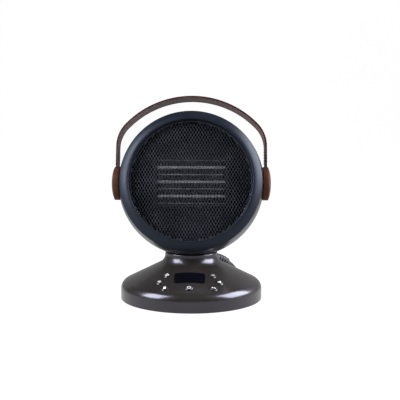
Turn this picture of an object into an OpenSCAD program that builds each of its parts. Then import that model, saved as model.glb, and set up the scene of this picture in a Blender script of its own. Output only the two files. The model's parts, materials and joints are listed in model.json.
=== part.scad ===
// Ceramic space heater: a round head with a domed mesh front turns on the neck of a flared base,
// under a strap handle that pivots on its sides. Millimetres, +Z up, front towards -Y,
// origin at the centre of the base on the surface it stands on.

/* [Overall] */
// Height of the head's centre above the table
pivot_h = 154; // [153:0.5:155]
// How far the head looks up, in degrees
head_tilt = 13.5; // [12:0.5:15]
// Radius of the round head
ball_r = 97; // [96.5:0.1:97]
// Wall of the plastic shells
wall = 2.6; // [2.4:0.1:2.8]

/* [Base] */
// Radius of the base
base_r = 95; // [94:0.5:96]
// Height of the upright part of the base's side
side_top = 14; // [13:0.5:15]
// Radius of the shoulder between side and slope
shoulder_r = 12; // [11:0.5:13]
// Slope of the base's top, in degrees
slope = 26.57; // [26:0.1:27]
// Radius of the neck
neck_r = 35.2; // [35:0.1:35.4]
// Radius of the hollow curve from slope to neck
neck_fillet = 14; // [13.5:0.1:14.5]
// Height of the neck's lip
lip_z = 62.6; // [62.2:0.1:62.6]

/* [Control panel] */
// Width of the display window
display_w = 39; // [36:1:42]
// Length of the display window down the slope
display_l = 21; // [18:1:22]
// Diameter of the push buttons
button_d = 9.8; // [9:0.1:10.4]
// How far a button stands out of the cover
button_proud = 1.2; // [1:0.1:1.4]

/* [Head] */
// Distance of the bezel's seam in front of the head's centre
seam_f = 27; // [26.5:0.1:27.5]
// Radius of the bezel's opening
aperture_r = 80.5; // [79:0.5:82]
// Rise of the front grille's dome
dome_rise = 6; // [4:0.5:8]
// Radius of the air intake at the back
intake_r = 58; // [57:0.5:59]

/* [Heater] */
// Width of the heating element
element_w = 90; // [86:1:92]
// Height of one row of fins
fin_h = 7.6; // [7.4:0.1:7.7]
// Folds in one row of fins
fin_folds = 28; // [20:1:32]

/* [Fan] */
// Radius of the fan over its blades
fan_r = 58; // [54:1:59]
// Number of fan blades
fan_blades = 7; // [5:1:9]

/* [Handle] */
// Width of the strap from front to back
strap_w = 22; // [20:1:24]
// Thickness of the strap
strap_t = 3; // [2.5:0.1:3.2]
// Radius of the round pads over the pivots
pad_r = 22.3; // [20:0.1:23]

/* [Cord] */
// Diameter of the mains cord
cord_d = 7; // [6.8:0.1:7]
// Radius of the middle turns of the stored coil
coil_r = 38; // [37.5:0.1:38.5]

/* [Hidden] */
$fn = 96;
fine = 240;
BUTTONS = [
    ["button_power", 0, -79],
    ["button_timer", -29, -51.5],
    ["button_heat", -38, -62],
    ["button_lock", -30.5, -76],
    ["button_mode", 29, -51.5],
    ["button_fan", 38, -62],
    ["button_swing", 30.5, -76]
];

// Colours
gunmetal = [0.23, 0.22, 0.23];
black = [0.06, 0.06, 0.07];
midnight = [0.13, 0.15, 0.19];
charcoal = [0.2, 0.2, 0.22];
white = [0.85, 0.85, 0.83];
board_green = [0.1, 0.35, 0.2];
steel = [0.7, 0.7, 0.72];
aluminium = [0.78, 0.79, 0.8];
brass = [0.75, 0.62, 0.3];
leather = [0.32, 0.2, 0.15];
mica = [0.5, 0.45, 0.36];

// Clearances
gap = 0.1;
loose = 0.3;
cover_z = 1.2;
foot_h = 1.6;
floor_t = 2.6;
floor_top = foot_h + floor_t;

// Curves of the base's outline: centres of the shoulder and of the hollow curve to the neck
shoulder_c = [base_r - shoulder_r, side_top];
slope_n = [sin(slope), cos(slope)];
slope_c = shoulder_c * slope_n + shoulder_r;
fillet_x = neck_r + neck_fillet;
fillet_c = [fillet_x, (slope_c + neck_fillet - slope_n[0] * fillet_x) / slope_n[1]];
arc_step = 4.5;

// Control panel
panel_mid = 63;
board_depth = 12.5;
board_t = 1.6;
tact_h = 1.7;
button_travel = 0.7;
button_stem_r = 1.6;
flange_top = wall + 0.5;
flange_t = 0.9;
window_x = -2.8;

// Swivel
post_r = 20;
post_bore = 16;
bearing_z = 53.5;
bearing_h = 4;
ledge_r = 28;
washer_t = 0.8;
collar_z = bearing_z + bearing_h + washer_t + gap;
gear_module = 1;
gear_teeth = 48;
pinion_teeth = 12;
gear_z = 36;
gear_h = 5;
gear_reach = gear_module * (gear_teeth + pinion_teeth) / 2;
pressure_angle = 20;
backlash = 0.35;
swivel_screw_r = 26;

// Screw posts, feet and boards
post_angles = [20, 160, 200, 340];
post_ring_r = 80;
foot_angles = [45, 135, 225, 315];
foot_ring_r = 78;
motor_r = 17.5;
motor_top = 27;
ear_offset = 22.5;

// Head, measured along the head's axis from its centre
bush_r = 7;
pin_r = 5;
pivot_boss_r = 11;
pivot_boss_x0 = 86;
pivot_boss_x = 97.2;
baffle_z = 1;
baffle_t = 2;
element_z = 5;
element_d = 10;
bar_t = 3.2;
plate_t = 0.8;
row_step = bar_t + 2 * fin_h + plate_t;
grille_t = 0.9;
grille_z = 24.5;
grille_edge_r = aperture_r - 0.3;
shroud_r = 60.5;
shroud_t = 2;
flange_sheet = 1.6;
baffle_screw_r = 76;
fan_back = -35;
fan_front = -16;
motor_shaft_r = 2.5;

// Handle: its shoulder curves run into its top curve, in the head's plane
strap_x = 101;
shoulder_bend_r = 45;
top_bend_r = 122;
top_bend = [0, -3.1];
bend_angle = acos((strap_x - shoulder_bend_r) / (top_bend_r - shoulder_bend_r));
shoulder_bend = [strap_x - shoulder_bend_r, top_bend[1] + (top_bend_r - shoulder_bend_r) * sin(bend_angle)];
pad_x0 = 97.5;
pad_rim_x = 101.6;
pad_top_x = 106;

// Cord: where it leaves, its route to the coil and the tail that rises to the plug
cord_r = cord_d / 2;
exit_azimuth = 52;
exit_bend_c = [33.2, -40.2];
exit_bend_r = 90;
exit_a0 = 85;
exit_a1 = 58;
relief_r = 5.2;
relief_rib_r = 6;
relief_stub_r = 4.5;
coil_c = [0, 152];
coil_lift = 1;
last_turn = 170;
row2_z = coil_lift + 3 * cord_r;
row3_z = row2_z + cord_d * sin(60);
cord_route = [
    [49.8, 63.8, 36.2],
    [56, 71.8, 29.8],
    [61.4, 80.5, 22],
    [64.4, 90, 13.8],
    [64.2, 100, 7.6],
    [61.6, 110, 4.6],
    [57.4, 120, 3.8],
    [52.6, 130, 3.9],
    [48, 140.6, 4.2],
    [45, 152, 4.5]
];
tail_route = [
    [-34, 158, 17.6],
    [-34.4, 150.6, 18.2],
    [-33, 143.4, 20.2],
    [-29.8, 136.7, 22.8],
    [-25.1, 131, 25.6],
    [-19.1, 126.6, 28],
    [-12.3, 123.8, 29.1]
];
inner_route = [
    [19.4, 24.8, 48.4],
    [20, 24.4, 42],
    [26, 22, 33],
    [36, 14, 23],
    [43, 10, 13.5],
    [45, 16, 9.7],
    [45, 36, 9.7]
];
head_route = [[13, -11.5, 81], [9, -8, 76], [4, -3, 69], [1, 0, 60], [0, 0, 46], [0, 0, 33]];
lead_r = 3;
plug_at = [-12.3, 123.8, 29.1];
plug_turn = -15;

// Helpers
function arc(c, r, a0, a1) =
    let (n = ceil(abs(a1 - a0) / arc_step))
    [for (i = [0:n]) let (a = a0 + (a1 - a0) * i / n) [c[0] + r * cos(a), c[1] + r * sin(a)]];
function reversed(v) = [for (i = [len(v) - 1:-1:0]) v[i]];

// The base's outline at a depth under its outer surface, from the rim up to the neck's lip
function base_outline(depth) = concat(
    [[base_r - depth, cover_z]],
    arc(shoulder_c, shoulder_r - depth, 0, 90 - slope),
    arc(fillet_c, neck_fillet + depth, 270 - slope, 180)
);
function slope_z(r) = (slope_c - slope_n[0] * r) / slope_n[1];

// Places children on the base's slope at x, y, with +Z out of the surface
module on_slope(x, y) {
    translate([x, y, slope_z(norm([x, y]))])
        rotate([0, slope, atan2(y, x)])
            children();
}

// Places children in the plane that touches the slope's front: X runs down the slope, Y to the right
module on_panel() on_slope(0, -panel_mid) children();

// Places children in the head's frame: Z out of the front grille, Y up across it
module in_head() translate([0, 0, pivot_h]) rotate([90 - head_tilt, 0, 0]) children();

module tube(r, r_in, h) {
    difference() {
        cylinder(r = r, h = h);
        translate([0, 0, -1])
            cylinder(r = r_in, h = h + 2);
    }
}

module rounded_rect(x, y, r) {
    hull()
        for (sx = [-1, 1], sy = [-1, 1])
            translate([sx * (x / 2 - r), sy * (y / 2 - r)])
                circle(r = r, $fn = 32);
}

// A tube along points that a smooth curve joins, as one closed solid
function smooth_point(p0, p1, p2, p3, t) =
    0.5 * (2 * p1 + (p2 - p0) * t + (2 * p0 - 5 * p1 + 4 * p2 - p3) * t * t
    + (3 * p1 - p0 - 3 * p2 + p3) * t * t * t);
function smooth_line(p, steps) = concat(
    [for (i = [0:len(p) - 2], k = [0:steps - 1])
        smooth_point(p[max(i - 1, 0)], p[i], p[i + 1], p[min(i + 2, len(p) - 1)], k / steps)],
    [p[len(p) - 1]]
);
function unit(v) = v / norm(v);
function ring_at(p, i, r, sides, ref) =
    let (t = unit(p[min(i + 1, len(p) - 1)] - p[max(i - 1, 0)]), u = unit(cross(t, ref)), w = cross(t, u))
    [for (k = [0:sides - 1]) p[i] + r * (u * cos(360 * k / sides) + w * sin(360 * k / sides))];

module swept_tube(p, r, sides = 8, ref = [0, 0, 1]) {
    points = [for (i = [0:len(p) - 1]) each ring_at(p, i, r, sides, ref)];
    last = (len(p) - 1) * sides;
    side_faces = [for (i = [0:len(p) - 2], k = [0:sides - 1])
        let (a = i * sides + k, b = i * sides + (k + 1) % sides)
        each [[a, b, b + sides], [a, b + sides, a + sides]]];
    start_face = [for (k = [sides - 1:-1:0]) k];
    end_face = [for (k = [0:sides - 1]) last + k];
    polyhedron(points, [for (f = concat(side_faces, [start_face, end_face])) reversed(f)]);
}

// Involute gear outline, with a tooth centred on +X
function roll(r_base, r) = let (t = sqrt(max(0, r * r / (r_base * r_base) - 1))) t * 180 / PI - atan(t);
function flank_angle(teeth, r) =
    let (pitch = gear_module * teeth / 2, r_base = pitch * cos(pressure_angle))
    90 / teeth - backlash / (2 * pitch) * 180 / PI + roll(r_base, pitch) - roll(r_base, r);
function gear_outline(teeth, tip, root) =
    let (start = max(root, gear_module * teeth / 2 * cos(pressure_angle)), steps = 3)
    [for (i = [0:teeth - 1]) each concat(
        [let (a = 360 * i / teeth - flank_angle(teeth, start)) root * [cos(a), sin(a)]],
        [for (k = [0:steps]) let (r = start + (tip - start) * k / steps, a = 360 * i / teeth
            - flank_angle(teeth, r)) r * [cos(a), sin(a)]],
        [for (k = [steps:-1:0]) let (r = start + (tip - start) * k / steps, a = 360 * i / teeth
            + flank_angle(teeth, r)) r * [cos(a), sin(a)]],
        [let (a = 360 * i / teeth + flank_angle(teeth, start)) root * [cos(a), sin(a)]]
    )];

// Base

module base_cover() color(gunmetal) {
    difference() {
        union() {
            rotate_extrude()
                polygon(concat(
                    base_outline(0),
                    [[neck_r, lip_z - 1], [neck_r - 0.3, lip_z - 0.3], [neck_r - 1, lip_z]],
                    [[neck_r - wall, lip_z]],
                    reversed(base_outline(wall))
                ));
            // Ledge that carries the swivel bearing
            translate([0, 0, bearing_z - 1.2])
                tube(35.5, ledge_r, 1.2);
            for (a = post_angles)
                rotate([0, 0, a])
                    translate([post_ring_r, 0, floor_top])
                        cylinder(r = 4, h = 22.5);
        }
        for (a = post_angles)
            rotate([0, 0, a])
                translate([post_ring_r, 0, floor_top - 1])
                    cylinder(r = 1.6, h = 14);
        on_panel()
            translate([window_x, 0, -wall * 2])
                linear_extrude(height = wall * 3)
                    rounded_rect(display_l + 0.3, display_w + 0.3, 3.1);
        for (b = BUTTONS)
            on_slope(b[1], b[2])
                translate([0, 0, -wall * 2])
                    cylinder(d = button_d + 2 * loose, h = wall * 3);
        cord_bend() {
            cord_stub(relief_stub_r + gap);
            relief_bend(relief_rib_r + gap, exit_a0 + 0.1);
        }
        translate([0, 0, pivot_h])
            sphere(r = ball_r + 0.5);
    }
}

module base_bottom() color(black) {
    difference() {
        union() {
            translate([0, 0, foot_h])
                cylinder(r = base_r - wall - 0.2, h = floor_t);
            for (s = [-1, 1])
                translate([-gear_reach, s * ear_offset, floor_top - 0.1])
                    cylinder(r = 4, h = motor_top - floor_top + 0.1);
            for (x = [-28, 28], y = [36, 66])
                translate([x, y, floor_top - 0.1])
                    cylinder(r = 3, h = 4.1);
        }
        for (a = post_angles)
            rotate([0, 0, a])
                translate([post_ring_r, 0, foot_h - 1]) {
                    cylinder(r = 1.8, h = 5);
                    cylinder(r = 3.5, h = 2.4);
                }
        for (s = [-1, 1])
            translate([-gear_reach, s * ear_offset, motor_top - 9])
                cylinder(r = 1.2, h = 10);
    }
}

module rubber_feet() color(black) {
    for (a = foot_angles)
        rotate([0, 0, a])
            translate([foot_ring_r, 0, 0])
                cylinder(r = 6, h = foot_h);
}

// Four screws of the bottom plate and two of the swing motor
module base_screws() color(steel) {
    for (a = post_angles)
        rotate([0, 0, a])
            translate([post_ring_r, 0, foot_h + 0.2]) {
                cylinder(r = 3.2, h = 1.2);
                cylinder(r = 1.5, h = 12);
            }
    for (s = [-1, 1])
        translate([-gear_reach, s * ear_offset, 0]) {
            translate([0, 0, motor_top + 1.25])
                cylinder(r = 2.4, h = 1.4);
            translate([0, 0, motor_top - 7])
                cylinder(r = 1.1, h = 8.5);
        }
}

module display_window() color(black) {
    intersection() {
        rotate_extrude()
            polygon([for (q = [[45, 0.15], [80, 0.15], [80, 2], [45, 2]])
                [q[0] - slope_n[0] * q[1], slope_z(q[0]) - slope_n[1] * q[1]]]);
        on_panel()
            translate([window_x, 0, -wall * 3])
                linear_extrude(height = wall * 4)
                    rounded_rect(display_l, display_w, 3);
    }
}

module display_module() color(charcoal) {
    on_panel()
        translate([window_x, 0, -board_depth + 3.5])
            cube([display_l - 4, display_w - 4, 7], center = true);
}

module control_board() color(board_green) {
    on_panel()
        translate([0, 0, -board_depth - board_t])
            linear_extrude(height = board_t)
                polygon([[-22, -42], [6, -42], [24, -33], [24, 33], [6, 42], [-22, 42]]);
}

// Distance from the slope's surface down a button's axis to the control board
function board_under(b) =
    let (r = norm([b[1], b[2]]), front_z = slope_c - slope_n[0] * panel_mid, turn = atan2(b[1], -b[2]),
        n = [slope_n[0] * sin(turn), -slope_n[0] * cos(turn), slope_n[1]], m = [0, -slope_n[0], slope_n[1]],
        d = [b[1], b[2], slope_z(r)] - [0, -panel_mid, front_z / slope_n[1]])
    (d * m + board_depth) / (n * m);

module tact_switches() color(black) {
    difference() {
        for (b = BUTTONS)
            on_slope(b[1], b[2])
                translate([-3, -3, -board_under(b) - 1])
                    cube([6, 6, tact_h + 1]);
        on_panel()
            translate([-40, -60, -board_depth - 10])
                cube([90, 120, 10]);
    }
}

module push_button(b) color(gunmetal) {
    stem_end = -board_under(b) + tact_h + button_travel + 0.35;
    on_slope(b[1], b[2]) {
        translate([0, 0, -flange_top])
            cylinder(d = button_d, h = flange_top + button_proud - 0.6);
        translate([0, 0, button_proud - 0.6])
            cylinder(d1 = button_d, d2 = button_d - 1.6, h = 0.6);
        translate([0, 0, -flange_top - flange_t])
            cylinder(d = button_d + 2, h = flange_t);
        translate([0, 0, stem_end])
            cylinder(r = button_stem_r, h = -stem_end - flange_top);
    }
}

module power_board() color(board_green) {
    translate([-34, 31, floor_top + 4])
        cube([68, 40, board_t]);
}

module power_relays() color([0.15, 0.25, 0.45]) {
    z = floor_top + 4 + board_t;
    for (x = [-30, -8])
        translate([x, 36, z])
            cube([18, 14, 13]);
    translate([18, 44, z])
        cylinder(r = 5, h = 11);
    translate([-28, 56, z])
        cube([30, 8, 7]);
}

module tilt_switch() color(white) {
    translate([42, -24, floor_top]) {
        cube([16, 20, 3]);
        translate([8, 10, 3])
            cylinder(r = 6, h = 13);
    }
}

module swing_motor() color(steel) {
    difference() {
        union() {
            translate([-gear_reach, 0, floor_top + 1])
                cylinder(r = motor_r, h = motor_top - floor_top - 1);
            translate([-gear_reach - 4, -ear_offset - 4, motor_top])
                cube([8, 2 * ear_offset + 8, 1.2]);
        }
        translate([-gear_reach, 0, motor_top - 8])
            cylinder(r = 2.56, h = 12);
        for (s = [-1, 1])
            translate([-gear_reach, s * ear_offset, motor_top - 1])
                cylinder(r = 1.2, h = 4);
    }
}

module swivel_bearing() color(white) {
    translate([0, 0, bearing_z])
        tube(32.4, post_r + 0.06, bearing_h);
}

module thrust_washer() color(steel) {
    translate([0, 0, bearing_z + bearing_h])
        tube(31, post_r + 0.3, washer_t);
}

module cord_clamp() color(black) {
    translate([36, 20, floor_top]) {
        difference() {
            cube([18, 10, 9]);
            translate([9, -1, 5.5])
                rotate([-90, 0, 0])
                    cylinder(r = 3.3, h = 12);
        }
    }
}

// Insulated conductors inside the base, from the gland through the clamp
module inner_lead() color(black) {
    swept_tube(smooth_line(inner_route, 2), lead_r, 8, [1, 0, 0]);
}

// Cord's exit: an upright plane through the exit's azimuth, X outwards and Y up, about the bend's centre
module cord_bend() {
    rotate([90, 0, exit_azimuth])
        translate([exit_bend_c[0], exit_bend_c[1], 0])
            children();
}

// Straight stub that passes through the cover's wall
module cord_stub(r) {
    rotate([0, 0, exit_a0])
        translate([exit_bend_r, -0.2, 0])
            rotate([-90, 0, 0])
                cylinder(r = r, h = 6);
}

// Curved sleeve around the cord, from its outer end to an angle on the cover
module relief_bend(r, a0) {
    rotate([0, 0, exit_a1])
        rotate_extrude(angle = a0 - exit_a1)
            translate([exit_bend_r, 0])
                circle(r = r);
}

module strain_relief() color(black) {
    cord_bend() {
        cord_stub(relief_stub_r);
        relief_bend(relief_r, exit_a0);
        for (i = [0:6])
            rotate([0, 0, exit_a0 - 3 - 3.4 * i])
                rotate_extrude(angle = 1.7)
                    translate([exit_bend_r, 0])
                        circle(r = relief_rib_r);
    }
}

module power_cord() color(black) swept_tube(smooth_line(cord_route, 1), cord_r);

module cord_coil() color(black) {
    translate([coil_c[0], coil_c[1], 0]) {
        rotate_extrude()
            translate([coil_r - 3 * cord_r, coil_lift])
                square([6 * cord_r, 4 * cord_r]);
        rotate_extrude()
            translate([coil_r + cord_r, row3_z])
                circle(r = cord_r);
        rotate_extrude(angle = last_turn)
            translate([coil_r - cord_r, row3_z])
                circle(r = cord_r);
    }
}

module cord_tie() color(charcoal) {
    tie_t = 1;
    translate([coil_c[0], coil_c[1], 0])
        rotate([90, 0, 90])
            translate([0, 0, -4])
                linear_extrude(height = 8)
                    translate([coil_r, 0])
                        difference() {
                            translate([-3 * cord_r - tie_t - 0.1, 0])
                                square([6 * cord_r + 2 * tie_t + 0.2, row3_z + cord_r + tie_t + 0.1]);
                            translate([-3 * cord_r - 0.1, tie_t])
                                square([6 * cord_r + 0.2, row3_z + cord_r - tie_t + 0.1]);
                        }
}

module cord_tail() color(black) swept_tube(smooth_line(tail_route, 1), cord_r);

// Places children at the plug's cord end, with +X towards the blades
module at_plug() translate(plug_at) rotate([0, 0, plug_turn]) children();

module plug_body() color(black) {
    at_plug() {
        rotate([0, 90, 0])
            cylinder(r = 5, h = 12);
        hull() {
            translate([10, -8, -6])
                cube([1, 16, 12]);
            translate([18, -11.5, -8])
                cube([19, 23, 16]);
        }
    }
}

module plug_blades() color(brass) {
    at_plug()
        for (s = [-1, 1])
            translate([37, s * 6.35 - 0.8, -3.2])
                cube([16, 1.6, 6.4]);
}

// Head

module head_shell() color(gunmetal) {
    in_head()
        difference() {
            union() {
                difference() {
                    rotate([0, 0, 45])
                        sphere(r = ball_r);
                    rotate([0, 0, 45])
                        sphere(r = ball_r - wall);
                    translate([-120, -120, seam_f])
                        cube([240, 240, 120]);
                    translate([0, 0, -120])
                        cylinder(r = intake_r, h = 80);
                }
                for (s = [-1, 1])
                    rotate([0, s * 90, 0])
                        translate([0, 0, pivot_boss_x0])
                            cylinder(r = pivot_boss_r, h = pivot_boss_x - pivot_boss_x0);
                intersection() {
                    at_baffle_screws(-70)
                        cylinder(r = 4, h = 70 + baffle_z - flange_sheet);
                    sphere(r = ball_r - 1);
                }
            }
            at_baffle_screws(baffle_z - 12)
                cylinder(r = 1.3, h = 12);
            for (s = [-1, 1])
                rotate([0, s * 90, 0])
                    translate([0, 0, pivot_boss_x0 - 4])
                        cylinder(r = bush_r + 0.1, h = 20);
            rotate([head_tilt - 90, 0, 0])
                swivel_holes(post_r + 0.2, 1.7);
        }
}

// Places children at the four screws that hold the baffle and the shroud, at a height on the head's axis
module at_baffle_screws(z) {
    for (a = [45:90:315])
        rotate([0, 0, a])
            translate([baffle_screw_r, 0, z])
                children();
}

// The post's hole and its screws' holes, straight down from the head's centre
module swivel_holes(r, screw_r) {
    translate([0, 0, -120])
        cylinder(r = r, h = 60);
    for (a = [45:90:315])
        rotate([0, 0, a])
            translate([swivel_screw_r, 0, -120])
                cylinder(r = screw_r, h = 60);
}

module front_bezel() color(midnight) {
    rim_r = sqrt(ball_r * ball_r - seam_f * seam_f) - 0.15;
    crest_r = (rim_r + aperture_r) / 2;
    in_head()
        rotate_extrude()
            polygon(concat(
                [[rim_r - 3.6, seam_f - 3], [rim_r - 2.9, seam_f - 3], [rim_r - 2.9, seam_f + 0.2]],
                [[rim_r - 0.2, seam_f + 0.2], [rim_r, seam_f + 0.8]],
                arc([crest_r + 1, seam_f + 2.4], rim_r - crest_r - 1.2, 10, 90),
                [[crest_r - 1, seam_f + 7.2], [aperture_r + 1.6, seam_f + 6]],
                [[aperture_r + 0.3, seam_f + 4.6]],
                [[aperture_r, seam_f + 3], [aperture_r, grille_z - 3], [aperture_r + 2, grille_z - 3]],
                [[aperture_r + 2, seam_f - 1], [rim_r - 3.6, seam_f - 1]]
            ));
}

// Front grille: a shallow dome of perforated sheet with a rim
module front_grille() color(charcoal) {
    dome_r = (grille_edge_r * grille_edge_r + dome_rise * dome_rise) / (2 * dome_rise);
    pitch = 12;
    in_head() {
        difference() {
            intersection() {
                difference() {
                    translate([0, 0, grille_z + dome_rise - dome_r])
                        sphere(r = dome_r);
                    translate([0, 0, grille_z + dome_rise - dome_r])
                        sphere(r = dome_r - grille_t);
                }
                cylinder(r = grille_edge_r, h = 60);
            }
            linear_extrude(height = 60)
                for (i = [-12:12], j = [-8:8])
                    if (norm([pitch * (i + j / 2), pitch * j * sin(60)]) < grille_edge_r - 8)
                        translate([pitch * (i + j / 2), pitch * j * sin(60)])
                            rotate([0, 0, 30])
                                circle(r = 6, $fn = 6);
        }
        translate([0, 0, grille_z - 2.6])
            tube(grille_edge_r, grille_edge_r - 1, 2.6);
    }
}

// Rear grille: rings on a sphere slightly inside the shell's, joined by spokes
module rear_grille() color(gunmetal) {
    outer = ball_r - 3;
    inner = outer - 2.4;
    in_head()
        intersection() {
            difference() {
                sphere(r = outer);
                sphere(r = inner);
                translate([-120, -120, -60])
                    cube([240, 240, 180]);
            }
            translate([0, 0, -110])
                linear_extrude(height = 60) {
                    for (r = [8:6:50])
                        difference() {
                            circle(r = r + 1.4);
                            circle(r = r - 1.4);
                        }
                    difference() {
                        circle(r = intake_r + 4);
                        circle(r = intake_r - 4.5);
                    }
                    for (a = [0:30:150])
                        rotate([0, 0, a])
                            square([2 * intake_r - 2, 2.4], center = true);
                    circle(r = 8);
                }
        }
}

module dust_filter() color(charcoal) {
    in_head()
        translate([0, 0, -71])
            tube(55.5, 1.5, 2);
}

module heater_baffle() color(black) {
    in_head()
        translate([0, 0, baffle_z])
            difference() {
                cylinder(r = 82, h = baffle_t);
                translate([-element_w / 2 - 1, -31, -1])
                    cube([element_w + 2, 62, 4]);
                at_baffle_screws(-1)
                    cylinder(r = 1.8, h = 4);
            }
}

module baffle_screws() color(steel) {
    in_head() {
        at_baffle_screws(baffle_z + baffle_t + 0.05)
            cylinder(r = 3, h = 1.6);
        at_baffle_screws(baffle_z - 8)
            cylinder(r = 1.25, h = 8 + baffle_t + 1);
    }
}

module heater_frame() color(black) {
    in_head()
        translate([0, 0, baffle_z + baffle_t])
            difference() {
                translate([-element_w / 2 - 5, -34, 0])
                    cube([element_w + 10, 68, 15]);
                translate([-element_w / 2 - 0.2, -29.4, -1])
                    cube([element_w + 0.4, 58.8, 17]);
            }
}

module heater_bars() color(aluminium) {
    in_head()
        for (i = [-1:1])
            translate([-element_w / 2, i * row_step - bar_t / 2, element_z])
                cube([element_w, bar_t, element_d]);
}

// One row of folded fins, from its lower edge
module fin_row() {
    width = element_w - 7;
    fold = width / fin_folds;
    sheet = 0.35;
    high = fin_h - 0.1 - sheet;
    top = [for (i = [0:2 * fin_folds]) [i * fold / 2 - width / 2, (i % 2) * high + sheet]];
    translate([0, 0.05, element_z])
        linear_extrude(height = element_d)
            polygon(concat(top, reversed([for (q = top) [q[0], q[1] - sheet]])));
}

module heater_fins() color(aluminium) {
    in_head()
        for (i = [-1:1], s = [-1, 1])
            translate([0, i * row_step + (s > 0 ? bar_t / 2 : -bar_t / 2 - fin_h), 0])
                fin_row();
}

module heater_plates() color(aluminium) {
    in_head()
        for (i = [-1.5:1:1.5])
            translate([-element_w / 2 + 1, i * row_step - plate_t / 2, element_z])
                cube([element_w - 2, plate_t, element_d]);
}

module heater_terminals() color(brass) {
    in_head()
        for (i = [-1:1], s = [-1, 1])
            translate([s * (element_w / 2 - 1.6) - 1.2, i * row_step - 0.4, element_z - 11])
                cube([2.4, 0.8, 11]);
}

// Bimetal thermostat, and the thermal fuse beside it
module thermal_cutoffs() color(mica) {
    in_head() {
        translate([14, 43, baffle_z - 8])
            cylinder(r = 8, h = 8);
        translate([-24, 38, baffle_z - 3])
            rotate([0, 90, 0])
                cylinder(r = 2.6, h = 16);
    }
}

module fan_shroud() color(black) {
    in_head() {
        translate([0, 0, -44])
            tube(shroud_r + shroud_t, shroud_r, baffle_z + 44);
        translate([0, 0, baffle_z - flange_sheet])
            difference() {
                tube(80, shroud_r + shroud_t - 0.5, flange_sheet);
                at_baffle_screws(-1)
                    cylinder(r = 1.8, h = 4);
            }
    }
}

module motor_bracket() color(charcoal) {
    in_head()
        translate([0, 0, -44]) {
            tube(shroud_r - 0.1, shroud_r - 2.6, 4);
            translate([0, 0, -4])
                tube(25, 21.2, 8);
            for (a = [45:90:315])
                rotate([0, 0, a])
                    translate([23, -3.5, 0])
                        cube([36, 7, 3]);
        }
}

module fan_motor() color(steel) {
    in_head()
        difference() {
            union() {
                translate([0, 0, -60])
                    cylinder(r = 21, h = 21);
                translate([0, 0, -62])
                    cylinder(r = 8, h = 25.5);
            }
            translate([0, 0, -70])
                cylinder(r = motor_shaft_r + 0.06, h = 40);
        }
}

module pivot_bushes() color(white) {
    in_head()
        for (s = [-1, 1])
            rotate([0, s * 90, 0])
                translate([0, 0, pivot_boss_x0])
                    tube(bush_r, pin_r + 0.05, pivot_boss_x - pivot_boss_x0);
}

module swivel_post() color(black) {
    difference() {
        union() {
            translate([0, 0, gear_z - 2])
                cylinder(r = post_r, h = 31);
            intersection() {
                translate([0, 0, 60])
                    cylinder(r = 32, h = 8);
                translate([0, 0, pivot_h])
                    sphere(r = ball_r - wall - 0.05, $fn = fine);
            }
        }
        translate([0, 0, 20])
            cylinder(r = post_bore, h = 60);
        translate([0, 0, pivot_h])
            swivel_holes(0.5, 1.7);
    }
}

module swivel_collar() color(black) {
    difference() {
        translate([0, 0, collar_z])
            tube(31, post_r + 0.1, 5);
        translate([0, 0, pivot_h])
            sphere(r = ball_r + 0.05, $fn = fine);
        translate([0, 0, pivot_h])
            swivel_holes(1, 1.6);
    }
}

module swivel_screws() color(steel) {
    for (a = [45:90:315])
        rotate([0, 0, a])
            translate([swivel_screw_r, 0, 0]) {
                translate([0, 0, 68.05])
                    cylinder(r = 3, h = 1.8);
                translate([0, 0, 59])
                    cylinder(r = 1.5, h = 10);
            }
}

module retaining_ring() color(steel) {
    translate([0, 0, bearing_z - 1.7])
        tube(26, post_r + 0.05, 1.5);
}

module head_gear() color(white) {
    pitch = gear_module * gear_teeth / 2;
    translate([0, 0, gear_z])
        difference() {
            linear_extrude(height = gear_h)
                polygon(gear_outline(gear_teeth, pitch + 0.75, pitch - 1.2));
            translate([0, 0, -1])
                cylinder(r = post_r + 0.05, h = gear_h + 2);
        }
}

// Motor and heater wires, down through the hollow post
module head_wiring() color([0.6, 0.1, 0.1]) {
    swept_tube(smooth_line(head_route, 2), lead_r, 8, [1, 0, 0]);
}

// Fan

module fan_impeller() color(charcoal) {
    mid = (fan_back + fan_front) / 2;
    in_head() {
        difference() {
            translate([0, 0, fan_back])
                cylinder(r = 20, h = fan_front - fan_back);
            translate([0, 0, fan_back - 1])
                tube(17.5, 6, fan_front - fan_back - 2);
            translate([0, 0, fan_back - 1])
                cylinder(r = motor_shaft_r + 0.02, h = fan_front - fan_back - 2);
        }
        intersection() {
            translate([0, 0, fan_back + 1])
                tube(fan_r, 19.5, fan_front - fan_back - 2);
            for (i = [0:fan_blades - 1])
                rotate([0, 0, 360 * i / fan_blades])
                    translate([39, 0, mid])
                        rotate([38, 0, 0])
                            cube([44, 25, 1.6], center = true);
        }
    }
}

module fan_shaft() color(steel) {
    in_head()
        translate([0, 0, -64])
            cylinder(r = motor_shaft_r, h = 64 + fan_front - 3.2);
}

module swing_pinion() color(white) {
    pitch = gear_module * pinion_teeth / 2;
    translate([-gear_reach, 0, 0]) {
        translate([0, 0, gear_z - 1])
            linear_extrude(height = gear_h + 2)
                rotate([0, 0, 180 / pinion_teeth])
                    polygon(gear_outline(pinion_teeth, pitch + 0.9, pitch - 1.2));
        translate([0, 0, motor_top - 6])
            cylinder(r = 2.5, h = gear_z - motor_top + 5.5);
    }
}

// Handle

function strap_outline(depth) =
    let (left = [-shoulder_bend[0], shoulder_bend[1]])
    concat(
        arc(shoulder_bend, shoulder_bend_r - depth, 0, bend_angle),
        arc(top_bend, top_bend_r - depth, bend_angle, 180 - bend_angle),
        arc(left, shoulder_bend_r - depth, 180 - bend_angle, 180)
    );

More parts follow.
